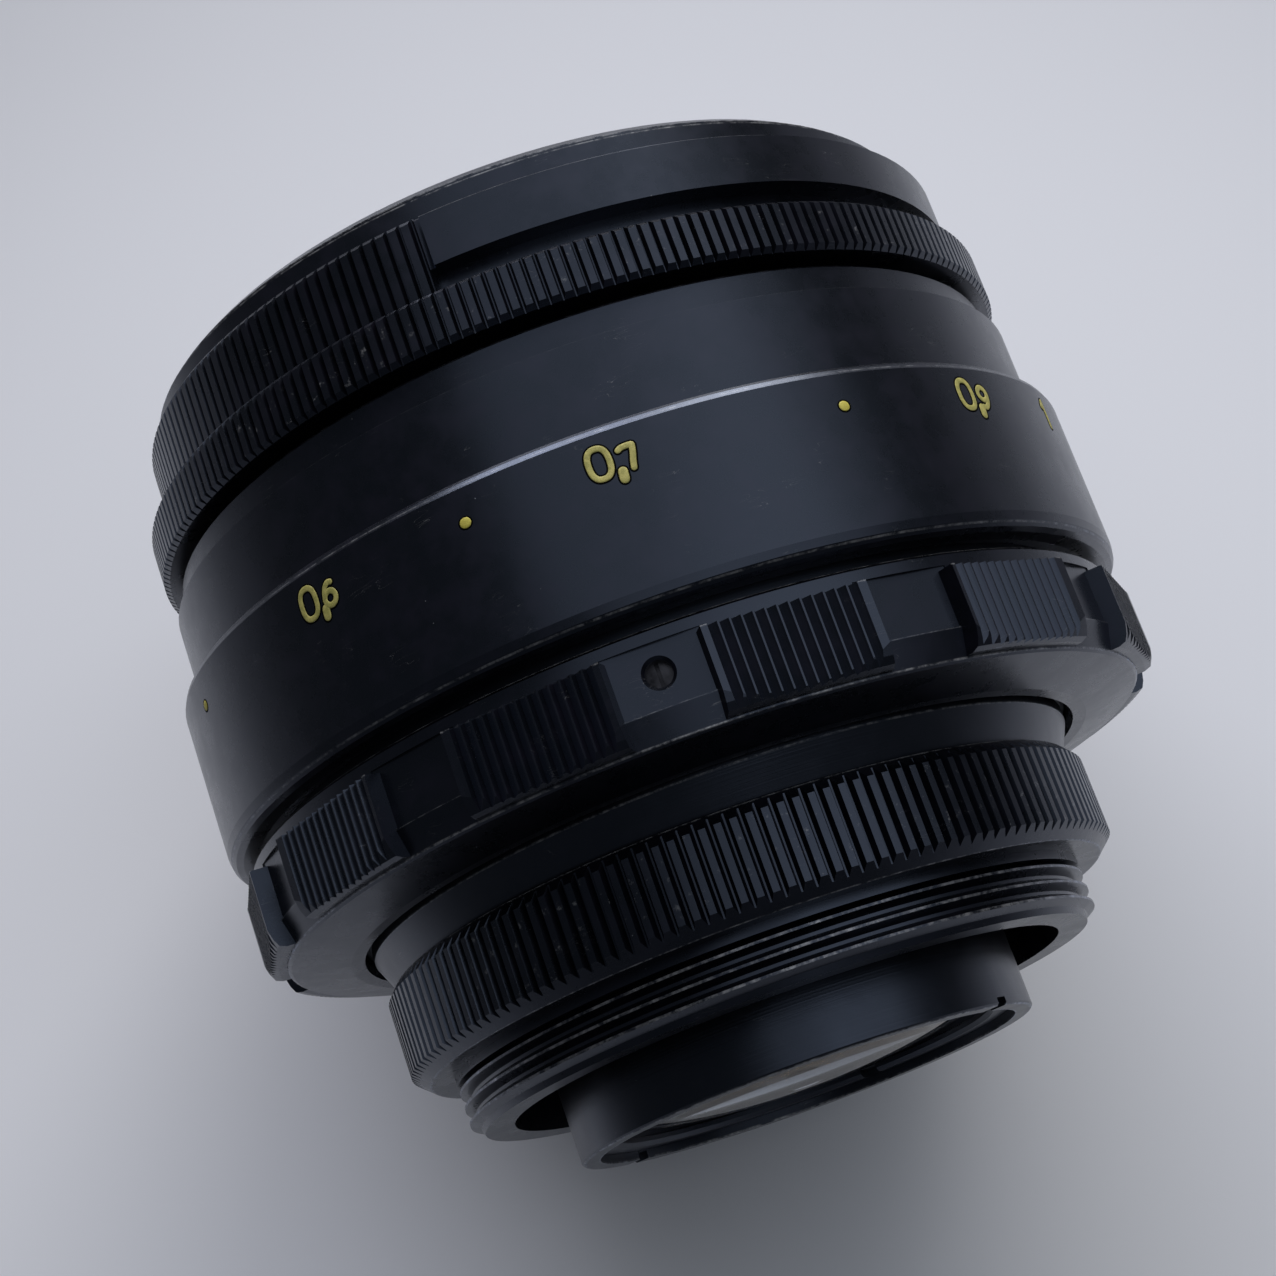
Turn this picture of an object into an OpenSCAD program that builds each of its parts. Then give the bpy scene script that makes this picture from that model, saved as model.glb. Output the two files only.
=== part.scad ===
// Manual screw-mount prime lens with a preset aperture.
// Millimetres. The optical axis lies along Y, the front of the lens points to +Y,
// and the origin is the centre of the flange that seats on the camera.
// Angles are measured round the axis from straight up (+Z), positive towards +X.

/* [Mount] */
// Major radius of the M42 x 1 mount thread
thread_r = 21; // [20.5:0.1:21.5]
// Pitch of the mount thread
thread_pitch = 1; // [0.75:0.25:1.5]
// Length of the thread behind the flange
thread_len = 3.8; // [3:0.1:5]
// Radius of the bore through the mount
mount_bore_r = 18.3; // [17:0.1:19]
// Tip radius of the knurled mount ring
mount_tip_r = 23.6; // [23:0.1:25]
// Height of the knurled mount ring in front of the flange
mount_ring_h = 6.4; // [5:0.1:8]
// Number of teeth on the mount ring
mount_teeth = 158; // [100:1:200]

/* [Focusing] */
// Outer radius of the distance ring
scale_r = 30.5; // [29:0.1:32]
// Front face of the distance ring
scale_front = 28; // [26:0.1:30]
// Rear edge of the distance ring
scale_rear = 16.9; // [16:0.1:18]
// Largest radius of the grip ring, at the corners of its pads
grip_r = 30.4; // [29:0.1:31]
// Number of grip pads round the grip ring
pads = 12; // [8:1:16]
// Width of one grip pad, in degrees
pad_deg = 18.8; // [12:0.1:24]
// Number of ribs on one pad
pad_ribs = 13; // [8:1:18]
// Pitch of those ribs
rib_pitch = 0.7; // [0.4:0.05:1]
// Travel of the lens block from infinity to the near limit
focus_travel = 8.97; // [8:0.01:10]
// Turn of the focusing ring over that travel, in degrees
focus_turn = 273.6; // [200:0.1:320]
// Crest radius of the fixed helicoid
helicoid_r = 23.9; // [23:0.1:24.5]
// Radius of the guide tube of the lens block
guide_r = 22.35; // [21:0.05:22.6]

/* [Rings at the front] */
// Tip radius of the aperture ring
aperture_tip_r = 29.35; // [28:0.05:30]
// Number of teeth on the aperture ring
aperture_teeth = 234; // [150:1:280]
// Tip radius of the preset ring
preset_tip_r = 27.8; // [27:0.05:29]
// Tooth pitch of the preset ring, in degrees
preset_pitch = 1.73; // [1.2:0.01:3]
// Radius of the smooth scale panel of the preset ring
panel_r = 28.2; // [27:0.05:29]
// Angle where the panel begins
panel_from = -8.65; // [-20:0.05:10]
// Angle where the panel ends
panel_to = 236; // [180:1:300]
// Radius of the filter thread
filter_r = 24.5; // [24:0.1:25]
// Depth of the filter thread
filter_len = 3.7; // [3:0.1:5]
// Outer radius of the band round the filter thread
front_band_r = 26.8; // [26:0.1:27.5]

/* [Iris] */
// Number of iris blades
blades = 8; // [8:1:8]
// Radius of the fully open iris
iris_open_r = 10.6; // [9:0.1:12]
// Radius of the circle of blade pivots
pivot_r = 16.7; // [15:0.1:18]
// Turn of the aperture ring from fully open to fully closed, in degrees
aperture_turn = 54; // [30:1:60]
// Turn of a blade over that range, in degrees
blade_turn = 33.2; // [20:0.1:40]
// Thickness of a blade
blade_t = 0.12; // [0.08:0.01:0.2]

/* [Optics] */
// Radius of the front element
front_glass_r = 17; // [15:0.1:19]
// Radius of the rear element
rear_glass_r = 13.2; // [12:0.1:14]
// Outer radius of the rear cell
rear_cell_r = 15.1; // [14:0.1:16]
// Rear end of the rear cell, measured from the flange
rear_end = -7.6; // [-9:0.1:-6]

/* [Hidden] */
$fn = 96;

// radial running clearance between parts that turn or slide on each other
run = 0.05;

// mount ring
mount_root_r = mount_tip_r - 0.45;
flange_r = 22.6;
neck_rear = -0.55;
thread_root_r = thread_r - 0.61;
thread_first = -1;
crest_half = 0.08;
root_half = 0.3;
spigot_r = 21.6;
spigot_rear = 1.6;

// base sleeve
neck_front_r = 23.6;
neck_front = 8.6;
sleeve_front = 24;
sleeve_lip_r = 19.8;
sleeve_bore_rear = 8;
key_w = 4;
key_in_r = 21.3;
key_out_r = 23.3;
key_rear = 20;
key_front = 23.5;
key_angles = [60, 240];

// lens block
body_rear = 8.3;
body_bore_r = 20.7;
keyway_r = 21.15;
body_lip_r = 18;
body_lip_front = 11.4;
block_flange_r = 26.9;
shoulder_r = 25.05;
block_flange_rear = 25;
block_flange_front = 26.5;
barrel_r = 24;
barrel_bore_r = 22.5;
barrel_front = 43.6;
index_r = 29.2;
index_step_r = 28.4;
index_step = 33.66;
index_front = 35.66;
index_gap = 0.15;
rim_front = 47.6;
name_rear = 41;

// rear cell
rear_seat = -2.3;

// iris
housing_r = 20.65;
housing_bore_r = 20.25;
housing_rear = 11.5;
housing_floor = 12.5;
housing_front = 17;
cam_r = housing_bore_r - run;
cam_bore_r = 12;
cam_rear = 13.95;
cam_front = 15.2;
pin_r = 0.5;
pivot_hole_r = pin_r + run;
slot_half = pin_r + 0.06;
tail_len = 4.2;
level_pitch = 0.15;
blade_first = 12.6;
blade_in_r = iris_open_r + 0.2;
blade_out_r = 15.6;
blade_arc = 112;
tab_r = 1.1;
tail_r = 0.85;
slot_steps = 18;
arm_angle = 90;
arm_in_r = 19.3;
arm_out_r = 20.1;
front_cell_r = 18.9;
arm_half_deg = 6;
arm_front = 38.9;
drive_z = 38;
drive_shank_r = 0.8;

// focusing ring
scale_bore_r = 28.2;
groove_r = 28.7;
helicoid_out_r = 27.6;
helicoid_rear = 10.6;
helicoid_thread_end = 19;
lip_r = 24.2;
stop_r = 1;
stop_pitch_r = 26;
stop_angle = 200;
stop_lug = 360 - focus_turn - 5;
grip_rear = 8.75;
grip_crown = 11.1;
pad_rear = 9.8;
pad_front = 14.95;
grip_front = 16.1;
pad_flat = grip_r * cos(pad_deg / 2);
pad_half = pad_flat * tan(pad_deg / 2);
pad_root_r = 28;
rib_depth = 0.34;
recess_flat = 29.15;
grip_rim_r = 29.4;
recess_rear = 11.5;
recess_front = 15.25;
grip_screw_z = 13.5;
grip_screw_r = 0.8;
grip_screw_out = 28.4;
grip_screw_sink = 0.2;
pad_pitch = 360 / pads;
recess_half = 3.2;
// the ribs run a little off centre on the pads, most at right angles to this direction
rib_offset = 0.3;
rib_centred_at = 15;

// aperture and preset rings
aperture_rear = 36.3;
aperture_front = 39.65;
tooth_depth = 0.42;
preset_rear = 39.95;
preset_front = 45.2;
panel_rear = 41.6;
panel_front = 44.95;
panel_recess_r = 26.6;
preset_bore_step = 43.4;
preset_bore_r = 25.9;
hub_r = 25.6;

black = [0.045, 0.047, 0.055];
satin = [0.06, 0.062, 0.07];
steel = [0.5, 0.5, 0.52];
brass = [0.62, 0.5, 0.28];
glass = [0.55, 0.6, 0.7, 0.4];

// Lays the optical axis along +Y.
module lay() rotate([-90, 0, 0]) children();

// Turns +X of the drawing plane to an angle measured from straight up.
module at(phi) rotate([0, 0, phi - 90]) children();

// A ring turned from its half section of [radius, height] points.
module turned(section) rotate_extrude($fn = 180) polygon(section);

// A turned ring that spans only part of a circle, from one angle to another.
module turned_arc(section, from, to)
    at(from) rotate_extrude(angle = to - from, $fn = 180) polygon(section);

// Outline of a knurl: flat lands between V grooves, over a range of angles.
function knurl(tip, root, from, step, count, land) = [
    for (i = [0 : count - 1], k = [0 : 3])
        let (
            a = from + step * (i + [0, land, land + (1 - land) * 0.4, land + (1 - land) * 0.6][k]) - 90,
            r = k < 2 ? tip : root
        )
        [r * cos(a), r * sin(a)]
];

// A glass with two spherical faces; a negative radius makes a face hollow.
// rear and front are the heights of the two faces on the axis.
module lens(r, rear, rear_radius, front, front_radius, low, high) {
    difference() {
        intersection() {
            translate([0, 0, low]) cylinder(r = r, h = high - low, $fn = 120);
            if (front_radius > 0)
                translate([0, 0, front - front_radius]) sphere(r = front_radius, $fn = 160);
            if (rear_radius > 0)
                translate([0, 0, rear + rear_radius]) sphere(r = rear_radius, $fn = 160);
        }
        if (front_radius < 0)
            translate([0, 0, front - front_radius]) sphere(r = -front_radius, $fn = 160);
        if (rear_radius < 0)
            translate([0, 0, rear + rear_radius]) sphere(r = -rear_radius, $fn = 160);
    }
}

// Two spanner notches across the face of a retaining ring.
module spanner_notches(r, z, phi, w, h)
    at(phi) translate([-r, -w / 2, z]) cube([2 * r, w, h]);

/* ---- fixed base ---- */

// Half section of the thread: one point list of crests and roots, rear to front.
function thread_section() = [
    for (i = [2 : -1 : 0])
        let (z = thread_first - i * thread_pitch)
        each [
            [thread_root_r, z - root_half - 0.1],
            [thread_r, z - crest_half],
            [thread_r, z + crest_half],
            [thread_root_r, z + root_half + 0.1]
        ]
];

module mount_ring() color(black) lay() intersection() {
    turned(concat(
        [[mount_bore_r, -thread_len], [thread_root_r - 0.15, -thread_len]],
        thread_section(),
        [
            [thread_r, neck_rear], [thread_r, 0], [flange_r, 0], [mount_tip_r, 0.9],
            [mount_tip_r, mount_ring_h - 0.75], [mount_tip_r - 0.65, mount_ring_h],
            [spigot_r, mount_ring_h], [spigot_r, spigot_rear], [mount_bore_r, spigot_rear]
        ]
    ));
    translate([0, 0, -thread_len - 1])
        linear_extrude(mount_ring_h + thread_len + 2)
            polygon(knurl(mount_tip_r + 0.05, mount_root_r, 0, 360 / mount_teeth, mount_teeth, 0.42));
}

module base_sleeve() color(black) lay() difference() {
    turned([
        [sleeve_lip_r, spigot_rear], [spigot_r, spigot_rear], [spigot_r, mount_ring_h],
        [flange_r, mount_ring_h], [neck_front_r, neck_front], [neck_front_r, 9.4],
        [helicoid_r, 9.6], [helicoid_r, sleeve_front], [guide_r + run, sleeve_front],
        [guide_r + run, sleeve_bore_rear], [sleeve_lip_r, sleeve_bore_rear]
    ]);
    for (phi = key_angles) at(phi) key_block();
}

// One guide key, along +X.
module key_block()
    translate([key_in_r, -key_w / 2, key_rear])
        cube([key_out_r - key_in_r, key_w, key_front - key_rear]);

module guide_keys() color(brass) lay()
    for (phi = key_angles) at(phi) key_block();

/* ---- lens block ---- */

module lens_body() color(satin) lay() difference() {
    turned([
        [body_lip_r, body_rear], [guide_r, body_rear], [guide_r, block_flange_rear],
        [block_flange_r, block_flange_rear], [block_flange_r, block_flange_front],
        [shoulder_r, block_flange_front], [shoulder_r, scale_front],
        [body_bore_r, scale_front], [body_bore_r, body_lip_front], [body_lip_r, body_lip_front]
    ]);
    for (phi = key_angles) at(phi)
        translate([keyway_r, -key_w / 2 - run, key_rear - focus_travel - 0.2])
            cube([3, key_w + 2 * run, key_front - key_rear + focus_travel + 0.5]);
    at(stop_angle) translate([stop_pitch_r, 0, block_flange_rear - 1])
        cylinder(r = stop_r, h = 3, $fn = 32);
}

module focus_stop_screw() color(steel) lay() difference() {
    at(stop_angle) translate([stop_pitch_r, 0, block_flange_rear])
        cylinder(r = stop_r, h = 2.6, $fn = 32);
    at(stop_angle) translate([stop_pitch_r - 2, -0.15, block_flange_rear + 2.2])
        cube([4, 0.3, 1]);
}

module index_barrel() color(black) lay() turned([
    [barrel_r, scale_front], [27, scale_front], [27, scale_front + index_gap],
    [index_r, scale_front + index_gap], [index_r, index_step - 0.08],
    [index_r - 0.2, index_step], [index_step_r, index_step], [index_step_r, index_front - 0.2],
    [index_step_r - 0.2, index_front], [26.2, index_front], [26.2, index_front - 1],
    [barrel_r, index_front - 1]
]);

module front_barrel() color(satin) lay() difference() {
    turned([
        [barrel_bore_r, scale_front], [barrel_r, scale_front], [barrel_r, barrel_front],
        [barrel_bore_r, barrel_front]
    ]);
    // arc slot that the drive screw travels in
    turned_arc(
        [[20, drive_z - 1], [26, drive_z - 1], [26, drive_z + 1], [20, drive_z + 1]],
        arm_angle - 2.4, arm_angle + aperture_turn + 2.4
    );
}

module filter_ring() color(black) lay() turned([
    [filter_r, rim_front - filter_len], [filter_r, rim_front - 0.25], [filter_r + 0.25, rim_front],
    [25.75, rim_front], [26.45, rim_front - 0.55], [26.45, rim_front - 0.75],
    [front_band_r, rim_front - 0.9], [front_band_r, preset_front + 0.2],
    [hub_r, preset_front + 0.2], [hub_r, barrel_front], [barrel_r - 0.6, barrel_front],
    [barrel_r - 0.6, rim_front - filter_len]
]);

module name_ring() color(black) lay() turned([
    [18.6, name_rear], [barrel_bore_r, name_rear], [barrel_bore_r, barrel_front],
    [22, barrel_front], [18.6, name_rear + 0.7]
]);

module front_cell() color(satin) lay() turned([
    [11.9, 15.4], [front_cell_r, 15.4], [front_cell_r, 39.3], [barrel_bore_r, 39.3],
    [barrel_bore_r, name_rear],
    [18.5, name_rear], [17.9, 37], [17.3, 34.4], [front_glass_r + run, 34.2],
    [front_glass_r + run, 28.9], [13.55, 28.9], [13.55, 16.4], [11.9, 16.4]
]);

module front_element() color(glass) lay()
    lens(front_glass_r, 29.5, -150, 35.3, 40, 28.95, 36);

module front_retainer() color(black) lay() difference() {
    turned([[15.9, 32.4], [17.05, 32.4], [17.05, 34], [16.3, 34], [15.9, 33.6]]);
    spanner_notches(18, 33.3, 30, 1.6, 1);
}

module front_spacer() color(satin) lay() turned([
    [12.7, 25.1], [13.5, 24.3], [13.5, 28.8], [12.7, 28.8]
]);

module front_doublet() color(glass) lay()
    lens(13.5, 20.5, -18, 28.3, 24, 16.4, 29);

// Angle and radius of a blade's drive pin once the blade has turned by a.
function pin_xy(a) = [pivot_r + tail_len * sin(a), -tail_len * cos(a)];

module iris_housing() color(satin) lay() difference() {
    turned([
        [iris_open_r, housing_rear], [housing_r, housing_rear], [housing_r, housing_front],
        [housing_bore_r, housing_front], [housing_bore_r, housing_floor],
        [iris_open_r, housing_floor]
    ]);
    for (i = [0 : blades - 1]) at(i * 360 / blades)
        translate([pivot_r, 0, housing_rear - 1]) cylinder(r = pivot_hole_r, h = 3, $fn = 24);
}

// Centre line of a cam slot, in the ring's own frame, at each step of its turn.
function cam_path() = [
    for (i = [-1 : slot_steps + 1])
        let (
            t = i / slot_steps,
            p = pin_xy(blade_turn * t),
            b = -aperture_turn * t
        )
        [p[0] * cos(b) - p[1] * sin(b), p[0] * sin(b) + p[1] * cos(b)]
];

// Points at a distance d beside the centre line.
function beside(path, d) = [
    for (i = [0 : len(path) - 1])
        let (
            q = path[min(i + 1, len(path) - 1)] - path[max(i - 1, 0)],
            n = norm(q)
        )
        path[i] + [q[1], -q[0]] * d / n
];

module cam_slot() {
    path = cam_path();
    right = beside(path, slot_half);
    left = beside(path, -slot_half);
    polygon(concat(right, [for (i = [len(left) - 1 : -1 : 0]) left[i]]));
}

module cam_ring() color(steel) lay() difference() {
    turned([[cam_bore_r, cam_rear], [cam_r, cam_rear], [cam_r, cam_front], [cam_bore_r, cam_front]]);
    for (i = [0 : blades - 1]) at(i * 360 / blades)
        translate([0, 0, cam_rear - 1]) linear_extrude(4) cam_slot();
}

module drive_arm() color(steel) lay() difference() {
    turned_arc(
        [[arm_in_r, cam_front], [arm_out_r, cam_front], [arm_out_r, arm_front], [arm_in_r, arm_front]],
        arm_angle - arm_half_deg, arm_angle + arm_half_deg
    );
    at(arm_angle) translate([0, 0, drive_z]) rotate([0, 90, 0])
        cylinder(r = drive_shank_r, h = 30, $fn = 32);
}

module drive_screw() color(steel) lay() difference() {
    at(arm_angle) translate([0, 0, drive_z]) rotate([0, 90, 0])
        translate([0, 0, arm_in_r]) cylinder(r = drive_shank_r, h = 26.5 - arm_in_r, $fn = 32);
    at(arm_angle) translate([26.1, -2, drive_z - 0.15]) cube([2, 4, 0.3]);
}

module aperture_ring() color(black) lay() difference() {
    intersection() {
        turned([
            [barrel_r + run, aperture_rear], [aperture_tip_r - 0.35, aperture_rear],
            [aperture_tip_r, aperture_rear + 0.3],
            [aperture_tip_r, aperture_front - 0.3], [aperture_tip_r - 0.35, aperture_front],
            [barrel_r + run, aperture_front]
        ]);
        translate([0, 0, aperture_rear - 1]) linear_extrude(6)
            polygon(knurl(
                aperture_tip_r + 0.05, aperture_tip_r - tooth_depth,
                0, 360 / aperture_teeth, aperture_teeth, 0.52
            ));
    }
    at(arm_angle) translate([0, 0, drive_z]) rotate([0, 90, 0])
        cylinder(r = drive_shank_r, h = 26.5, $fn = 32);
}

// Angles of the knurled part of the preset ring, as a whole number of teeth.
preset_teeth = floor((panel_from + 360 - panel_to - 1) / preset_pitch);
preset_from = panel_from - 0.9 - preset_teeth * preset_pitch;

// Outline that cuts the preset ring's teeth and stays clear of its panel.
function preset_outline() = concat(
    knurl(preset_tip_r + 0.05, preset_tip_r - tooth_depth, preset_from, preset_pitch, preset_teeth, 0.55),
    [
        for (k = [0 : 24])
            let (a = panel_from + (panel_to - panel_from) * k / 24 - 90)
            [(panel_r + 0.5) * cos(a), (panel_r + 0.5) * sin(a)]
    ]
);

module preset_ring() color(black) lay() difference() {
    intersection() {
        union() {
            turned([
                [barrel_r + run, preset_rear], [preset_tip_r - 0.3, preset_rear],
                [preset_tip_r, preset_rear + 0.3], [preset_tip_r, preset_front - 0.3],
                [preset_tip_r - 0.3, preset_front], [preset_bore_r, preset_front],
                [preset_bore_r, preset_bore_step], [barrel_r + run, preset_bore_step]
            ]);
            turned_arc(
                [[27, panel_rear], [panel_r, panel_rear], [panel_r, panel_front - 0.12],
                 [panel_r - 0.25, panel_front + 0.05], [27, panel_front + 0.05]],
                panel_from, panel_to
            );
        }
        translate([0, 0, preset_rear - 1]) linear_extrude(8) polygon(preset_outline());
    }
    // dark step behind the panel
    turned_arc(
        [[panel_recess_r, preset_rear - 1], [30, preset_rear - 1],
         [30, panel_rear], [panel_recess_r, panel_rear]],
        panel_from - 0.9, panel_to + 0.5
    );
    // step in front of the panel
    turned_arc(
        [[27.35, panel_front + 0.05], [30, panel_front + 0.05],
         [30, preset_front + 1], [27.35, preset_front + 1]],
        panel_from - 0.9, panel_to + 0.5
    );
}

module rear_cell() color(satin) lay() difference() {
    turned([
        [13.9, rear_end], [rear_cell_r - 0.15, rear_end], [rear_cell_r, rear_end + 0.15],
        [rear_cell_r, 7.2], [body_lip_r, 7.2], [body_lip_r, 11.4], [12.55, 11.4],
        [12.55, rear_seat], [rear_glass_r + run, rear_seat], [rear_glass_r + run, -5],
        [13.9, -5]
    ]);
    spanner_notches(20, rear_end - 1, 58, 1, 1.5);
}

module rear_doublet() color(glass) lay()
    lens(12.5, 0.9, 26, 7.2, -18, 0, 10.8);

module rear_spacer() color(satin) lay() turned([
    [11.9, -1.9], [12.5, -1.9], [12.5, 3.9], [11.9, 3.4]
]);

module rear_element() color(glass) lay()
    lens(rear_glass_r, -7.4, 60, -0.6, 45, -8, 0);

module rear_retainer() color(black) lay() difference() {
    turned([
        [12.4, -6.75], [12.65, -7], [13.85, -7], [13.85, -5.05], [13.4, -5.05],
        [13.4, -6.25], [12.4, -6.45]
    ]);
    spanner_notches(15, -7.6, -20, 1.2, 1.1);
}

/* ---- focusing ring ---- */

module distance_ring() color(black) lay() turned([
    [helicoid_out_r, scale_rear + 0.3], [groove_r, scale_rear],
    [29.7, scale_rear], [30.15, scale_rear + 0.15], [30.4, scale_rear + 0.5],
    [scale_r, scale_rear + 1], [scale_r, scale_front - 0.62],
    [30.38, scale_front - 0.3], [30.13, scale_front - 0.08], [29.6, scale_front], [scale_bore_r, scale_front],
    [scale_bore_r, block_flange_front + 0.1], [helicoid_out_r, block_flange_front + 0.1]
]);

// Two-dimensional cutter for one ribbed pad, along +X, with its ribs moved sideways by shift.
module pad_cutter(shift) {
    first = shift - rib_pitch * pad_ribs / 2;
    polygon(concat(
        [[pad_flat + 3, -pad_half - 1], [pad_flat, -pad_half - 1]],
        [
            for (i = [0 : pad_ribs - 1], k = [0 : 3])
                [
                    pad_flat - rib_depth * [0, 1, 0.3, 0][k],
                    first + rib_pitch * (i + [0, 0.2, 0.68, 0.84][k])
                ]
        ],
        [[pad_flat, pad_half + 1], [pad_flat + 3, pad_half + 1]]
    ));
}

// The raised blocks of the grip ring, before their ribs are cut.
module grip_pads() intersection() {
    turned([
        [pad_root_r, pad_rear], [29.5, pad_rear], [29.96, pad_rear + 0.15], [30.2, pad_rear + 0.6],
        [grip_r, grip_crown], [grip_r, pad_front], [pad_root_r, pad_front]
    ]);
    for (i = [0 : pads - 1]) at((i + 0.5) * pad_pitch)
        translate([pad_root_r - 1, -pad_half, pad_rear - 1]) cube([5, 2 * pad_half, pad_front - pad_rear + 2]);
}

module grip_ring() color(black) lay() difference() {
    union() {
        difference() {
            turned([
                [lip_r, grip_rear], [25.1, grip_rear], [28.75, 9.55], [28.95, 9.7],
                [grip_rim_r, recess_rear - 0.1], [grip_rim_r, grip_front - 0.2],
                [grip_rim_r - 0.2, grip_front], [helicoid_out_r, grip_front],
                [helicoid_out_r, helicoid_rear], [lip_r, helicoid_rear]
            ]);
            for (i = [0 : pads - 1]) at(i * pad_pitch)
                translate([recess_flat, -recess_half, recess_rear])
                    cube([3, 2 * recess_half, recess_front - recess_rear]);
        }
        grip_pads();
    }
    for (i = [0 : pads - 1]) at((i + 0.5) * pad_pitch)
        translate([0, 0, pad_rear - 1]) linear_extrude(pad_front - pad_rear + 2)
            pad_cutter(rib_offset * sin(rib_centred_at - (i + 0.5) * pad_pitch));
    for (phi = [0, 120, 240]) at(phi) translate([0, 0, grip_screw_z]) rotate([0, 90, 0]) {
        cylinder(r = grip_screw_r, h = 40, $fn = 32);
        translate([0, 0, recess_flat - grip_screw_sink])
            cylinder(
                r1 = grip_screw_r, r2 = grip_screw_r + 2 * grip_screw_sink,
                h = 2 * grip_screw_sink, $fn = 32
            );
    }
}

module grip_screws() color(steel) lay()
    for (phi = [0, 120, 240]) at(phi) difference() {
        translate([helicoid_out_r, 0, grip_screw_z]) rotate([0, 90, 0])
            cylinder(r = grip_screw_r, h = grip_screw_out - helicoid_out_r, $fn = 32);
        translate([grip_screw_out - 0.4, -0.12, grip_screw_z - 2]) cube([1, 0.24, 4]);
    }

module helicoid_ring() color(brass) lay() turned([
    [helicoid_r + run, helicoid_rear], [helicoid_out_r, helicoid_rear],
    [helicoid_out_r, block_flange_rear - 0.1], [24.6, block_flange_rear - 0.1],
    [24.6, helicoid_thread_end], [helicoid_r + run, helicoid_thread_end]
]);

module focus_retainer() color(satin) lay() difference() {
    turned([
        [25.2, block_flange_front + 0.1], [scale_bore_r, block_flange_front + 0.1],
        [scale_bore_r, scale_front - 0.2], [25.2, scale_front - 0.2]
    ]);
    // channel for the stop screw; the part left standing is the stop lug
    turned_arc(
        [[25, block_flange_front], [27.3, block_flange_front],
         [27.3, scale_front], [25, scale_front]],
        stop_angle + 2.5 + stop_lug, stop_angle + 2.5 + 360
    );
}

/* ---- iris blades ---- */

// One blade at its own level, with its pivot pin below and its drive pin above.
module blade(i) color(steel) lay() at(i * 360 / blades) {
    z = blade_first + i * level_pitch;
    translate([0, 0, z]) linear_extrude(blade_t) union() {
        difference() {
            intersection() {
                circle(r = blade_out_r, $fn = 120);
                polygon([
                    [0, 0], [40, 0], [40, 40], [0, 40],
                    [40 * cos(blade_arc), 40 * sin(blade_arc)]
                ]);
            }
            circle(r = blade_in_r, $fn = 120);
        }
        translate([pivot_r, 0]) circle(r = tab_r, $fn = 32);
        translate([blade_out_r - 1.2, 0]) square([2, 1]);
        translate([pivot_r - 0.5, -tail_len]) square([1, tail_len]);
        translate([pivot_r, -tail_len]) circle(r = tail_r, $fn = 32);
    }
    translate([pivot_r, 0, housing_rear + 0.2]) cylinder(r = pin_r, h = z - housing_rear, $fn = 24);
    translate([pivot_r, -tail_len, z]) cylinder(r = pin_r, h = cam_front - 0.2 - z, $fn = 24);
}

module blade_1() blade(0);
module blade_2() blade(1);
module blade_3() blade(2);
module blade_4() blade(3);
module blade_5() blade(4);
module blade_6() blade(5);
module blade_7() blade(6);
module blade_8() blade(7);

mount_ring();
base_sleeve();
guide_keys();
lens_body();
index_barrel();
front_barrel();
filter_ring();
name_ring();
front_cell();
front_element();
front_retainer();
front_spacer();
front_doublet();
iris_housing();
rear_cell();
rear_doublet();
rear_spacer();
rear_element();
rear_retainer();
focus_stop_screw();
distance_ring();
grip_ring();
helicoid_ring();
focus_retainer();
grip_screws();
aperture_ring();
drive_screw();
drive_arm();
cam_ring();
preset_ring();
blade_1();
blade_2();
blade_3();
blade_4();
blade_5();
blade_6();
blade_7();
blade_8();
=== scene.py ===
import math

import bmesh
import bpy
from mathutils import Matrix, Vector


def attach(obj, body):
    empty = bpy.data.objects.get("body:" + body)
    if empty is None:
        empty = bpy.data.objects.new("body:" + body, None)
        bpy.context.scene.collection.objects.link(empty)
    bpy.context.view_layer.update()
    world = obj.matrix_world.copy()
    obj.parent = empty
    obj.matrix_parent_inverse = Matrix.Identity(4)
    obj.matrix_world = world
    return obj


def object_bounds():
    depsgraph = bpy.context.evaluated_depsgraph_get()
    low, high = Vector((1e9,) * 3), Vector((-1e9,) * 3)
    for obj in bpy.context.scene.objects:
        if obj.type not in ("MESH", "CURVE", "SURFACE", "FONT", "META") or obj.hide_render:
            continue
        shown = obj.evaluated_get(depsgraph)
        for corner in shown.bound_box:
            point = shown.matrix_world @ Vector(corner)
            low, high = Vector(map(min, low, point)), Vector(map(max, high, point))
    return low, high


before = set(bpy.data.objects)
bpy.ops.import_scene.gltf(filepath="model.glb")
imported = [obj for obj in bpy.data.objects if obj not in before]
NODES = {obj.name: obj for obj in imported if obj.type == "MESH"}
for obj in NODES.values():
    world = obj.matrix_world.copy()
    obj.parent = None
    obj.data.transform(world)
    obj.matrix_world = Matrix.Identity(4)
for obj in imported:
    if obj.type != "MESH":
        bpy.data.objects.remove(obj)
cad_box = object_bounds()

MM = 0.001
SHARP_ANGLE = 25


# ---------------------------------------------------------------- shaders

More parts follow.
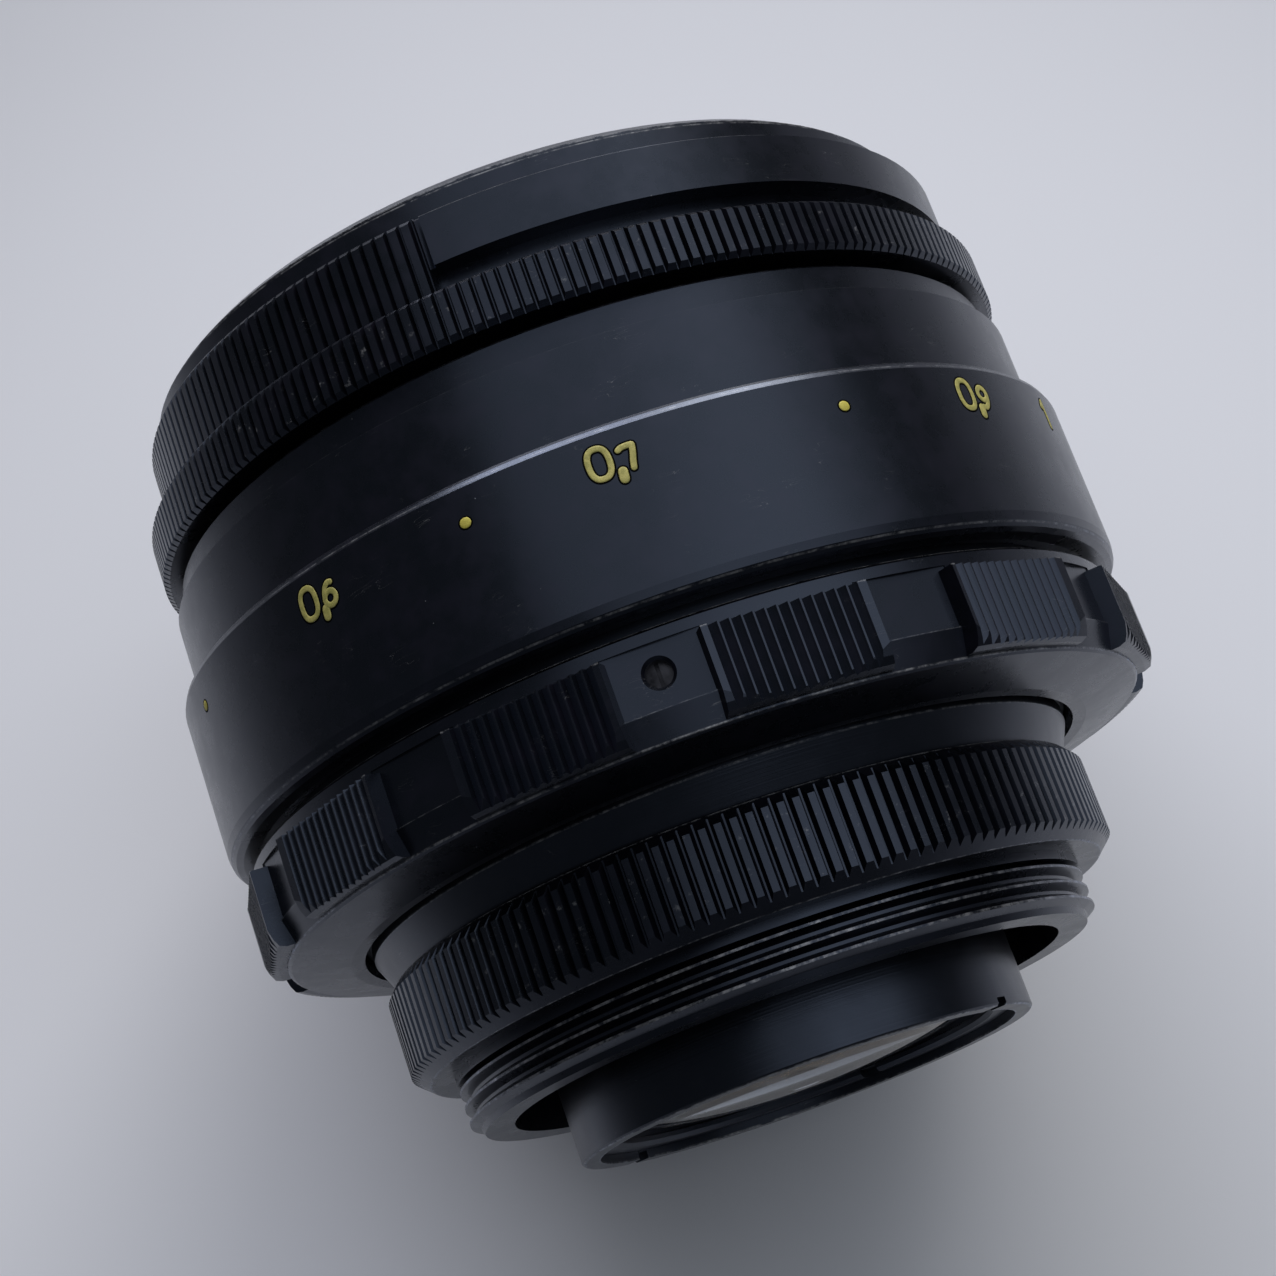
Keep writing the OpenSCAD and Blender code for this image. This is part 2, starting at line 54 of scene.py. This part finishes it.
class Shader:
    """A node material with short helpers for building it."""

    def __init__(self, name):
        self.material = bpy.data.materials.new(name)
        self.material.use_nodes = True
        self.tree = self.material.node_tree
        self.bsdf = self.tree.nodes["Principled BSDF"]
        coord = self.tree.nodes.new("ShaderNodeTexCoord")
        scale = self.vector("SCALE", coord.outputs["Object"], scale=1 / MM)
        split = self.tree.nodes.new("ShaderNodeSeparateXYZ")
        self.link(scale, split.inputs[0])
        self.point = scale
        self.x, self.y, self.z = split.outputs
        z_squared = self.math("MULTIPLY", self.z, self.z)
        self.r = self.math("SQRT", self.math("MULTIPLY_ADD", self.x, self.x, z_squared))

    def link(self, value, socket):
        if isinstance(value, bpy.types.NodeSocket):
            self.tree.links.new(value, socket)
        else:
            socket.default_value = value

    def math(self, operation, *values):
        node = self.tree.nodes.new("ShaderNodeMath")
        node.operation = operation
        for value, socket in zip(values, node.inputs):
            self.link(value, socket)
        return node.outputs[0]

    def vector(self, operation, *values, scale=None):
        node = self.tree.nodes.new("ShaderNodeVectorMath")
        node.operation = operation
        for value, socket in zip(values, node.inputs):
            self.link(value, socket)
        if scale is not None:
            node.inputs["Scale"].default_value = scale
        return node.outputs[0]

    def combine(self, x, y, z):
        node = self.tree.nodes.new("ShaderNodeCombineXYZ")
        for value, socket in zip((x, y, z), node.inputs):
            self.link(value, socket)
        return node.outputs[0]

    def stretch(self, x, y, z):
        return self.vector("MULTIPLY", self.point, (x, y, z))

    def noise(self, where, scale, detail=2.0, roughness=0.5, distortion=0.0):
        node = self.tree.nodes.new("ShaderNodeTexNoise")
        self.link(where, node.inputs["Vector"])
        node.inputs["Scale"].default_value = scale
        node.inputs["Detail"].default_value = detail
        node.inputs["Roughness"].default_value = roughness
        node.inputs["Distortion"].default_value = distortion
        return node.outputs[0]

    def cells(self, where, scale):
        node = self.tree.nodes.new("ShaderNodeTexVoronoi")
        self.link(where, node.inputs["Vector"])
        node.inputs["Scale"].default_value = scale
        return node.outputs["Distance"], node.outputs["Color"]

    def ramp(self, value, low, high, to_low=0.0, to_high=1.0):
        node = self.tree.nodes.new("ShaderNodeMapRange")
        node.interpolation_type = "SMOOTHSTEP"
        self.link(value, node.inputs["Value"])
        node.inputs["From Min"].default_value = low
        node.inputs["From Max"].default_value = high
        node.inputs["To Min"].default_value = to_low
        node.inputs["To Max"].default_value = to_high
        return node.outputs[0]

    def mix(self, factor, a, b):
        node = self.tree.nodes.new("ShaderNodeMix")
        node.data_type = "RGBA"
        self.link(factor, node.inputs["Factor"])
        self.link(a, node.inputs[6])
        self.link(b, node.inputs[7])
        return node.outputs[2]

    def bump(self, height, distance, strength):
        node = self.tree.nodes.new("ShaderNodeBump")
        self.link(height, node.inputs["Height"])
        node.inputs["Distance"].default_value = distance * MM
        node.inputs["Strength"].default_value = strength
        return node.outputs[0]

    def set(self, **values):
        for name, value in values.items():
            self.link(value, self.bsdf.inputs[name.replace("_", " ")])


# Colours, as linear light
DEEP = (0.0012, 0.0015, 0.0024, 1)
BLOOM = (0.0032, 0.0025, 0.0052, 1)
SATIN = (0.0020, 0.0022, 0.0032, 1)
SATIN_PALE = (0.0036, 0.0038, 0.0055, 1)
DUST = (0.20, 0.20, 0.20, 1)
GLASS_DUST = (0.7, 0.7, 0.7, 1)
BARE = (0.50, 0.50, 0.52, 1)

# How deep turning lines, dust and paint grain stand, in millimetres
LINE_RELIEF = 0.004
PAINT_RELIEF = 0.02


def distance_to(s, edges):
    """Distance in millimetres from the nearest of some circles, given as (y, r)."""
    nearest = None
    for y, r in edges:
        away = s.math("ADD", s.math("ABSOLUTE", s.math("SUBTRACT", s.y, y)),
                      s.math("ABSOLUTE", s.math("SUBTRACT", s.r, r)))
        nearest = away if nearest is None else s.math("MINIMUM", nearest, away)
    return nearest


def scratches(s, spread, along, seed, share):
    """Short fine lines: a narrow band of a stretched noise, shown only in some places."""
    turned = s.vector("ADD", s.stretch(*along), (seed, seed * 2.3, seed * 3.1))
    waves = s.noise(turned, 1.0, detail=1.0, distortion=0.25)
    line = s.math("ABSOLUTE", s.math("SUBTRACT", waves, 0.5))
    place = s.noise(s.vector("ADD", s.point, (seed * 7, 0, 0)), 0.35, detail=2.0)
    return s.math("MULTIPLY", s.ramp(line, spread, 0.0), s.ramp(place, share, share + 0.07))


def dust(s, scale, size, share):
    """Round specks in a few cells of a cell pattern."""
    near, tint = s.cells(s.point, scale)
    split = s.tree.nodes.new("ShaderNodeSeparateColor")
    s.link(tint, split.inputs[0])
    chosen = s.ramp(split.outputs[0], 1 - share, 1 - share + 0.01)
    return s.math("MULTIPLY", s.ramp(near, size, size * 0.4), chosen)


def turned_lines(s, around, along, detail):
    """Fine lines around the axis, stretched by around and as close as along says."""
    across = s.math("MULTIPLY", s.math("ADD", s.y, s.r), along)
    where = s.combine(s.math("MULTIPLY", s.x, around), across, s.math("MULTIPLY", s.z, around))
    return s.noise(where, 1.0, detail=detail)


def black_metal(name, edges=(), tip=None, dark=DEEP, pale=BLOOM, roughness=0.28,
                lines=0.35, wear=0.5, edge=0.1, specks=0.03):
    """Black anodised metal with turning lines, dust, fine scratches and worn edges.

    edges are the (y, r) circles that wear, and tip is the radius of a knurl's crests.
    """
    s = Shader(name)
    mottle = s.noise(s.point, 0.45, detail=4.0, roughness=0.62)
    colour = s.mix(s.ramp(mottle, 0.38, 0.7), dark, pale)
    speck = dust(s, 1.1, 0.055, specks)
    colour = s.mix(s.math("MULTIPLY", speck, 0.45), colour, DUST)
    metal = s.math("MULTIPLY", scratches(s, 0.003, (0.5, 3.0, 0.5), 3.7, 0.6), 0.25)
    if edges or tip:
        rub = s.noise(s.point, 1.4, detail=4.0, roughness=0.75)
    if edges:
        reach = s.ramp(distance_to(s, edges), edge, edge * 0.3)
        worn = s.math("MULTIPLY", reach, s.ramp(rub, 0.36, 0.76, 0.0, wear))
        metal = s.math("MAXIMUM", metal, worn)
    if tip:
        crest = s.ramp(s.r, tip - 0.05, tip - 0.005)
        worn = s.math("MULTIPLY", crest, s.ramp(rub, 0.6, 0.76, 0.0, wear * 0.5))
        metal = s.math("MAXIMUM", metal, worn)
    colour = s.mix(metal, colour, BARE)
    polish = s.ramp(mottle, 0.3, 0.72, roughness - 0.02, roughness + 0.03)
    gloss = s.math("MULTIPLY_ADD", speck, 0.3, polish)
    turning = turned_lines(s, 0.03, 9.0, 2.0)
    height = s.math("MULTIPLY_ADD", speck, 1.5, s.math("MULTIPLY", turning, lines))
    s.set(Base_Color=colour, Metallic=s.math("MULTIPLY", metal, 0.9), Roughness=gloss, IOR=1.62,
          Specular_Tint=(0.62, 0.73, 1.0, 1), Normal=s.bump(height, LINE_RELIEF, 1.0))
    return s.material


def bare_metal(name, low, high, roughness, grain, oxide=None):
    """Turned metal with fine lines, uneven polish and a little tarnish."""
    s = Shader(name)
    cloud = s.noise(s.point, 0.5, detail=4.0, roughness=0.65)
    colour = s.mix(s.ramp(cloud, 0.3, 0.7), low, high)
    if oxide:
        tarnish = s.ramp(s.noise(s.point, 1.7, detail=4.0), 0.55, 0.75, 0.0, 0.7)
        colour = s.mix(tarnish, colour, oxide)
    lines = turned_lines(s, 0.05, grain, 3.0)
    gloss = s.ramp(cloud, 0.25, 0.75, roughness - 0.06, roughness + 0.08)
    s.set(Base_Color=colour, Metallic=1.0, Roughness=gloss,
          Normal=s.bump(lines, LINE_RELIEF, 0.5))
    return s.material


def lens_glass(name, film, tint):
    """Optical glass with a thin coating, faint cleaning marks and dust."""
    s = Shader(name)
    haze = s.noise(s.stretch(0.6, 0.6, 0.6), 1.0, detail=3.0, distortion=0.6)
    speck = dust(s, 0.9, 0.045, 0.12)
    wipe = scratches(s, 0.003, (1.4, 1.4, 0.5), 5.1, 0.58)
    smear = s.math("MULTIPLY", s.math("MAXIMUM", speck, wipe), 0.2)
    gloss = s.math("ADD", s.ramp(haze, 0.45, 0.8, 0.008, 0.04), smear)
    colour = s.mix(s.math("MULTIPLY", speck, 0.5), tint, GLASS_DUST)
    s.set(Base_Color=colour, Roughness=gloss, Transmission_Weight=1.0, IOR=1.72,
          Thin_Film_Thickness=film, Thin_Film_IOR=1.38)
    return s.material


def paint(name, light, shade, rim, ior=1.5):
    """Old engraving paint, blotched by a stain noise and flecked with its rim colour by a fine grain."""
    s = Shader(name)
    stain = s.noise(s.point, 2.6, detail=3.0, roughness=0.7)
    grain = s.noise(s.point, 11.0, detail=3.0, roughness=0.6)
    colour = s.mix(s.ramp(stain, 0.32, 0.66), light, shade)
    colour = s.mix(s.ramp(grain, 0.5, 0.8, 0.0, 0.55), colour, rim)
    s.set(Base_Color=colour, Roughness=s.ramp(grain, 0.3, 0.7, 0.45, 0.75), IOR=ior,
          Normal=s.bump(grain, PAINT_RELIEF, 0.5))
    return s.material


MATERIALS = {
    "distance_ring": black_metal("scale_black", [(27.55, 30.5), (28.0, 28.2), (17.3, 30.3)],
                                 edge=0.14, wear=0.45, specks=0.05),
    "grip_ring": black_metal("grip_black", [(16.1, 29.2), (9.7, 28.95), (11.45, 29.3), (14.95, 30.38)],
                             edge=0.14, wear=0.8, lines=0.5, specks=0.08),
    "mount_ring": black_metal("mount_black", [(0.0, 22.6), (6.35, 22.95)]
                              + [(-turn, 21.0) for turn in (1.0, 2.0, 3.0)],
                              tip=23.6, edge=0.14, wear=0.7, specks=0.14),
    "base_sleeve": black_metal("neck_black", [(8.6, 23.6)], dark=SATIN, pale=SATIN_PALE,
                               roughness=0.33, lines=1.8, edge=0.12, wear=0.4),
    "index_barrel": black_metal("index_black", [(33.62, 29.15), (35.6, 28.35), (28.15, 29.2)],
                                edge=0.12, wear=0.35),
    "aperture_ring": black_metal("aperture_black", tip=29.35, wear=0.6, lines=0.2),
    "preset_ring": black_metal("preset_black", [(44.95, 28.05)], edge=0.12, wear=0.5),
    "filter_ring": black_metal("filter_black", [(47.6, 25.75), (47.6, 24.75), (47.05, 26.45), (46.7, 26.8)],
                               edge=0.12, wear=0.7),
    "name_ring": black_metal("name_black", [(43.6, 22.0)], roughness=0.38, lines=0.9, edge=0.12, wear=0.4),
    "front_retainer": black_metal("retainer_black", [(34.0, 16.3)], roughness=0.4, edge=0.12, wear=0.6),
    "rear_retainer": black_metal("rear_retainer_black", [(-7.1, 12.6), (-6.6, 12.2)],
                                 roughness=0.4, edge=0.12, wear=0.6),
    "rear_cell": black_metal("cell_black", [(-7.6, 14.95), (-7.6, 13.9)], dark=SATIN, pale=SATIN_PALE,
                             roughness=0.3, lines=2.0, edge=0.16, wear=1.0),
    "helicoid_ring": black_metal("helicoid_black", dark=SATIN, pale=DEEP, roughness=0.4, lines=0.8),
    "brass": bare_metal("brass", (0.42, 0.27, 0.09, 1), (0.62, 0.44, 0.17, 1), 0.34, 9.0,
                        (0.12, 0.07, 0.03, 1)),
    "blued_steel": bare_metal("blued_steel", (0.045, 0.05, 0.07, 1), (0.10, 0.11, 0.14, 1), 0.38, 6.0),
    "screw_steel": bare_metal("screw_steel", (0.010, 0.010, 0.012, 1), (0.06, 0.06, 0.07, 1), 0.30, 14.0),
    "inner": black_metal("inner_black", dark=SATIN, pale=DEEP, roughness=0.5, lines=1.0),
    "front_glass": lens_glass("front_glass", 118.0, (0.94, 0.96, 1.0, 1)),
    "rear_glass": lens_glass("rear_glass", 102.0, (0.95, 0.97, 1.0, 1)),
}

# Nodes that take a material made for something else; the rest take "inner"
SHARED = {
    "guide_keys": "brass", "cam_ring": "blued_steel", "drive_arm": "blued_steel",
    "grip_screws": "screw_steel", "focus_stop_screw": "screw_steel", "drive_screw": "screw_steel",
    "front_element": "front_glass", "front_doublet": "front_glass",
    "rear_element": "rear_glass", "rear_doublet": "rear_glass",
}

for name, node in NODES.items():
    key = "blued_steel" if name.startswith("blade") else SHARED.get(name, name)
    node.data.materials.clear()
    node.data.materials.append(MATERIALS.get(key, MATERIALS["inner"]))
    node.data.shade_smooth()
    node.data.set_sharp_from_angle(angle=math.radians(SHARP_ANGLE))


# ---------------------------------------------------------------- engraved marks

def arc(centre, radii, start, stop, count=14, power=1.0):
    """Points on an ellipse, or on a squarer oval where power is below 1."""
    points = []
    for i in range(count + 1):
        a = math.radians(start + (stop - start) * i / count)
        c, t = math.cos(a), math.sin(a)
        points.append((centre[0] + radii[0] * math.copysign(abs(c) ** power, c),
                       centre[1] + radii[1] * math.copysign(abs(t) ** power, t)))
    return points


def ring(centre, radii, power=1.0):
    return arc(centre, radii, 0, 360, 28, power)


def figure_eight(centre, half_width, height, count=36):
    """A lying eight, for infinity."""
    points = []
    for i in range(count + 1):
        a = 2 * math.pi * i / count
        pinch = 1 + math.sin(a) ** 2
        points.append((centre[0] + half_width * math.cos(a) / pinch,
                       centre[1] + height * math.sin(a) * math.cos(a) / pinch))
    return points


# Strokes of each sign, in a box one unit high; "oo" is infinity
GLYPHS = {
    "0": [ring((0.33, 0.5), (0.33, 0.5), 0.8)],
    "1": [[(0.05, 0.72), (0.27, 1.0), (0.27, 0.0)]],
    "2": [arc((0.32, 0.7), (0.32, 0.3), 165, -25, 12) + [(0.45, 0.38), (0.0, 0.0), (0.66, 0.0)]],
    "3": [arc((0.3, 0.76), (0.28, 0.24), 150, -90, 12) + arc((0.3, 0.27), (0.32, 0.27), 80, -150, 12)],
    "4": [[(0.48, 0.0), (0.48, 1.0), (0.0, 0.3), (0.66, 0.3)]],
    "5": [[(0.58, 1.0), (0.12, 1.0), (0.06, 0.58)] + arc((0.3, 0.32), (0.33, 0.32), 120, -145, 14)],
    "6": [[(0.55, 0.95), (0.38, 0.99), (0.2, 0.85), (0.07, 0.58), (0.02, 0.34)],
          ring((0.33, 0.31), (0.31, 0.31))],
    "7": [[(0.0, 0.9), (0.14, 0.98), (0.38, 1.0), (0.63, 1.0), (0.55, 0.6), (0.46, 0.3), (0.4, 0.0)]],
    "8": [ring((0.33, 0.76), (0.25, 0.24)), ring((0.33, 0.27), (0.31, 0.27))],
    "9": [[(0.1, 0.05), (0.28, 0.01), (0.46, 0.15), (0.6, 0.42), (0.64, 0.66)],
          ring((0.33, 0.69), (0.31, 0.31))],
    ",": [[(0.03, 0.04), (0.01, -0.2)]],
    "oo": [figure_eight((0.5, 0.45), 0.5, 0.75)],
}
# Width of each sign, the gap after it, and how much wider its stroke is than the others'
WIDTH = 0.66
WIDTHS = {"1": 0.5, ",": 0.03, "oo": 1.0}
GAP = 0.24
COMMA_GAP = 0.06
SWELL = {",": 1.55}
# Size and rise of the figures after a comma, as shares of the height
DECIMAL_SIZE = 0.74
DECIMAL_RISE = 0.05

# A stroke's section: (across, up), as shares of its width and height
SECTION = [(-0.5, -0.6), (-0.5, 0.2), (-0.42, 0.7), (-0.2, 1.0),
           (0.2, 1.0), (0.42, 0.7), (0.5, 0.2), (0.5, -0.6)]
# The round end of a stroke, as steps of a quarter turn
CAP_ANGLES = (30, 55, 78)


def eased(a, b, c):
    """The middle point of three, pulled towards its neighbours."""
    return ((a[0] + 2 * b[0] + c[0]) / 4, (a[1] + 2 * b[1] + c[1]) / 4)


def rounded(points, step=0.05):
    """Resamples a path closely and eases its corners."""
    fine = []
    for (ax, ay), (bx, by) in zip(points, points[1:]):
        count = max(1, round(math.dist((ax, ay), (bx, by)) / step))
        fine += [(ax + (bx - ax) * i / count, ay + (by - ay) * i / count) for i in range(count)]
    fine.append(points[-1])
    closed = math.dist(points[0], points[-1]) < 1e-6
    for _ in range(2):
        start = eased(fine[-2], fine[0], fine[1]) if closed else fine[0]
        middle = [eased(a, b, c) for a, b, c in zip(fine, fine[1:], fine[2:])]
        fine = [start] + middle + [start if closed else fine[-1]]
    return fine, closed


def sweep(bm, points, closed, width, height, radius, phi, y):
    """Sweeps a low rounded section along a path, wrapped on a ring, as one closed skin."""
    # A station is a point, the direction of the path there, and the section's size
    stations = []
    count = len(points) - 1 if closed else len(points)
    for i in range(count):
        before = points[(i - 1) % count] if closed else points[max(i - 1, 0)]
        after = points[(i + 1) % count] if closed else points[min(i + 1, count - 1)]
        dx, dy = after[0] - before[0], after[1] - before[1]
        size = math.hypot(dx, dy) or 1.0
        stations.append((points[i][0], points[i][1], dx / size, dy / size, 1.0))
    if not closed:
        caps = [(math.sin(math.radians(d)) * width / 2, math.cos(math.radians(d))) for d in CAP_ANGLES]
        x, up, dx, dy, _ = stations[0]
        head = [(x - dx * reach, up - dy * reach, dx, dy, size) for reach, size in reversed(caps)]
        x, up, dx, dy, _ = stations[-1]
        tail = [(x + dx * reach, up + dy * reach, dx, dy, size) for reach, size in caps]
        stations = head + stations + tail
    rows = []
    for px, py, tx, ty, scale in stations:
        row = []
        for side, up in SECTION:
            u = px - ty * side * width * scale
            v = py + tx * side * width * scale
            a = math.radians(phi) + u / radius
            reach = (radius + (up * height * scale if up > 0 else up * height)) * MM
            row.append(bm.verts.new((reach * math.sin(a), (y + v) * MM, reach * math.cos(a))))
        rows.append(row)
    pairs = list(zip(rows, rows[1:])) + ([(rows[-1], rows[0])] if closed else [])
    for one, two in pairs:
        for k in range(len(SECTION)):
            m = (k + 1) % len(SECTION)
            bm.faces.new((one[k], two[k], two[m], one[m]))
    if not closed:
        bm.faces.new(rows[0])
        bm.faces.new(list(reversed(rows[-1])))


def marks(name, body, material, radius, items, stroke, grow=0.0, lift=0.03):
    """One piece holding every mark on a ring.

    An item is a path in millimetres, its angle and y, and how much wider its stroke is.
    """
    bm = bmesh.new()
    for path, phi, y, swell in items:
        points, closed = rounded(path)
        sweep(bm, points, closed, stroke * swell + grow, lift, radius, phi, y)
    bmesh.ops.recalc_face_normals(bm, faces=bm.faces[:])
    mesh = bpy.data.meshes.new(name)
    bm.to_mesh(mesh)
    bm.free()
    mesh.materials.append(material)
    mesh.shade_smooth()
    piece = bpy.data.objects.new(name, mesh)
    bpy.context.scene.collection.objects.link(piece)
    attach(piece, body)


def lettering(signs, phi, y, height):
    """Items of a number centred on an angle; what follows a comma is smaller and raised."""
    pen, placed, scale, rise = 0.0, [], height, 0.0
    for sign in signs:
        for path in GLYPHS[sign]:
            moved = [(pen + px * scale, rise + py * scale) for px, py in path]
            placed.append((moved, SWELL.get(sign, 1.0)))
        pen += (WIDTHS.get(sign, WIDTH) + (COMMA_GAP if sign == "," else GAP)) * scale
        if sign == ",":
            scale, rise = height * DECIMAL_SIZE, height * DECIMAL_RISE
    width = pen - GAP * scale
    return [([(px - width / 2, py) for px, py in path], phi, y, swell) for path, swell in placed]


def dot(phi, y, size):
    return ([(-size / 2, 0.0), (size / 2, 0.0)], phi, y, 1.0)


def tick(phi, y, length):
    return ([(0.0, 0.0), (0.0, length)], phi, y, 1.0)


ochre = paint("mark_yellow", (0.46, 0.41, 0.12, 1), (0.30, 0.28, 0.07, 1), (0.17, 0.15, 0.05, 1))
ivory = paint("mark_ivory", (0.55, 0.53, 0.42, 1), (0.38, 0.37, 0.26, 1), (0.2, 0.19, 0.12, 1))
bright = paint("mark_dot", (0.52, 0.46, 0.07, 1), (0.42, 0.36, 0.05, 1), (0.24, 0.2, 0.04, 1))
scarlet = paint("mark_red", (0.5, 0.035, 0.02, 1), (0.34, 0.03, 0.02, 1), (0.15, 0.02, 0.01, 1))
# Painted shade: a near-black paint that hardly reflects, laid as a wider sheet under the figures and dots to
# stand in for the shade in their engraved grooves
groove_shade = paint("painted_groove_shade", (0.0010, 0.0010, 0.0010, 1), (0.0022, 0.0020, 0.0018, 1), (0.006, 0.005, 0.003, 1),
            ior=1.08)

# Radii of the rings that carry marks, in millimetres
DISTANCE_RADIUS = 30.5
INDEX_RADIUS = 29.2
COLLAR_RADIUS = 28.4
STOP_RADIUS = 28.2
# Angle of the fixed index about the axis, from +Z towards +X
INDEX_ANGLE = 180
# Widths of strokes, and of the dark sheet around them that paints the shade of their engraved grooves
FIGURE_STROKE = 0.36
DOT_STROKE = 0.64
GROOVE_SHADE_WIDTH = 0.2
GROOVE_SHADE_LIFT = 0.008

DISTANCES = [(2.95, "0,7"), (-33.9, "0,6"), (49.7, "0,9"), (68.1, "1"), (-93.2, "0,5"), (85.5, "1,2"),
             (106.0, "1,5"), (126.0, "2"), (145.0, "3"), (159.5, "5")]
figures = [item for phi, text in DISTANCES for item in lettering(text, phi, 24.69, 1.86)]
figures += lettering(["oo"], 180.4, 24.85, 1.6)
# Painted shade of the engraved grooves: a wider dark sheet under the figures
marks("distance_groove_shade", "focus", groove_shade, DISTANCE_RADIUS, figures, FIGURE_STROKE, grow=GROOVE_SHADE_WIDTH, lift=GROOVE_SHADE_LIFT)
marks("distance_figures", "focus", ochre, DISTANCE_RADIUS, figures, FIGURE_STROKE)
dots = [dot(phi, 25.35, 0.06) for phi in (-13.9, 29.7, -62.1, 95.7, 116.0, 135.5)]
# Painted shade of the engraved grooves round the dots
marks("distance_dot_groove_shade", "focus", groove_shade, DISTANCE_RADIUS, dots, DOT_STROKE, grow=GROOVE_SHADE_WIDTH, lift=GROOVE_SHADE_LIFT)
marks("distance_dots", "focus", bright, DISTANCE_RADIUS, dots, DOT_STROKE, lift=0.035)

# Aperture number and its angle from the index, on each side
DEPTHS = [(4, 4.2), (8, 8.6), (11, 12.4), (16, 18.2)]
depths = [tick(INDEX_ANGLE + side * angle, 28.5, 1.3) for _, angle in DEPTHS for side in (-1, 1)]
depths += [item for stop, angle in DEPTHS for side in (-1, 1)
           for item in lettering(str(stop), INDEX_ANGLE + side * angle, 30.5, 1.15)]
marks("depth_marks", "block", ivory, INDEX_RADIUS, depths, 0.2, lift=0.025)
marks("index_line", "block", scarlet, INDEX_RADIUS, [tick(INDEX_ANGLE, 28.6, 3.9)], 0.34)
marks("aperture_index", "block", scarlet, COLLAR_RADIUS, [dot(INDEX_ANGLE, 34.75, 0.05)], 0.8, lift=0.04)

STOPS = ["2", "2,8", "4", "5,6", "8", "11", "16"]
STOP_STEP = 9
stops = [item for k, text in enumerate(STOPS)
         for item in lettering(text, INDEX_ANGLE - STOP_STEP * k, 42.35, 1.6)]
marks("stop_figures", "preset", ivory, STOP_RADIUS, stops, 0.26)


# ---------------------------------------------------------------- camera

def aim_camera():
    data = bpy.data.cameras.new("camera")
    data.sensor_width = 36
    data.lens = 73.16
    data.clip_start = 0.01
    data.clip_end = 10
    camera = bpy.data.objects.new("camera", data)
    place = Matrix.Translation((0.0, -0.02353, 0.16638))
    right = Vector((0.9408, -0.3250, -0.0961)).normalized()
    forward = Vector((-0.0030, 0.2754, -0.9613)).normalized()
    right = (right - forward * right.dot(forward)).normalized()
    up = right.cross(forward)
    camera.matrix_world = place @ Matrix((right, up, -forward)).transposed().to_4x4()
    bpy.context.scene.collection.objects.link(camera)
    bpy.context.scene.camera = camera


aim_camera()


# ---------------------------------------------------------------- floor and light

FLOOR_HALF = 3.0
FLOOR_PAINTED_POOL = (0.80, 0.81, 0.87, 1)
FLOOR_PAINTED_DIM = (0.24, 0.245, 0.27, 1)
COOL_LIGHT = (0.90, 0.95, 1.0)


def lay_floor():
    """A pale floor with a painted pool of light round the lens, its colour darkening further out so that the
    lens's flanks reflect something dark.
    """
    z = cad_box[0].z
    half = FLOOR_HALF
    corners = [(-half, -half, z), (half, -half, z), (half, half, z), (-half, half, z)]
    mesh = bpy.data.meshes.new("floor")
    mesh.from_pydata(corners, [], [(0, 1, 2, 3)])
    floor = bpy.data.objects.new("floor", mesh)
    bpy.context.scene.collection.objects.link(floor)
    s = Shader("floor")
    away = s.math("SQRT", s.math("MULTIPLY_ADD", s.x, s.x, s.math("MULTIPLY", s.y, s.y)))
    # Painted light: the floor colour fades from the lit pool to a dim edge between 50 and 190 mm from the axis
    s.set(Base_Color=s.mix(s.ramp(away, 50.0, 190.0), FLOOR_PAINTED_POOL, FLOOR_PAINTED_DIM), Roughness=0.9)
    mesh.materials.append(s.material)


def area_light(name, place, width, height, power, colour):
    """A soft rectangular light that faces the origin."""
    data = bpy.data.lights.new(name, "AREA")
    data.shape = "RECTANGLE"
    data.size = width
    data.size_y = height
    data.energy = power
    data.color = colour
    light = bpy.data.objects.new(name, data)
    light.location = place
    light.rotation_euler = (-Vector(place)).to_track_quat("-Z", "Y").to_euler()
    bpy.context.scene.collection.objects.link(light)


lay_floor()
world = bpy.data.worlds.new("world")
world.use_nodes = True
sky = world.node_tree.nodes["Background"]
sky.inputs["Color"].default_value = (0.86, 0.92, 1.0, 1)
sky.inputs["Strength"].default_value = 0.075
bpy.context.scene.world = world
area_light("overhead", (0.17, 0.10, 0.46), 0.74, 0.60, 0.80, COOL_LIGHT)
area_light("overhead_right", (0.31, 0.12, 0.38), 0.22, 0.50, 0.16, COOL_LIGHT)
area_light("window", (-0.06, 0.86, 0.34), 0.52, 0.36, 5.5, (0.95, 0.95, 1.0))
area_light("key", (0.46, 0.82, 0.36), 0.45, 0.45, 6.2, (1.0, 0.98, 0.95))
bpy.context.scene.view_settings.view_transform = "Standard"
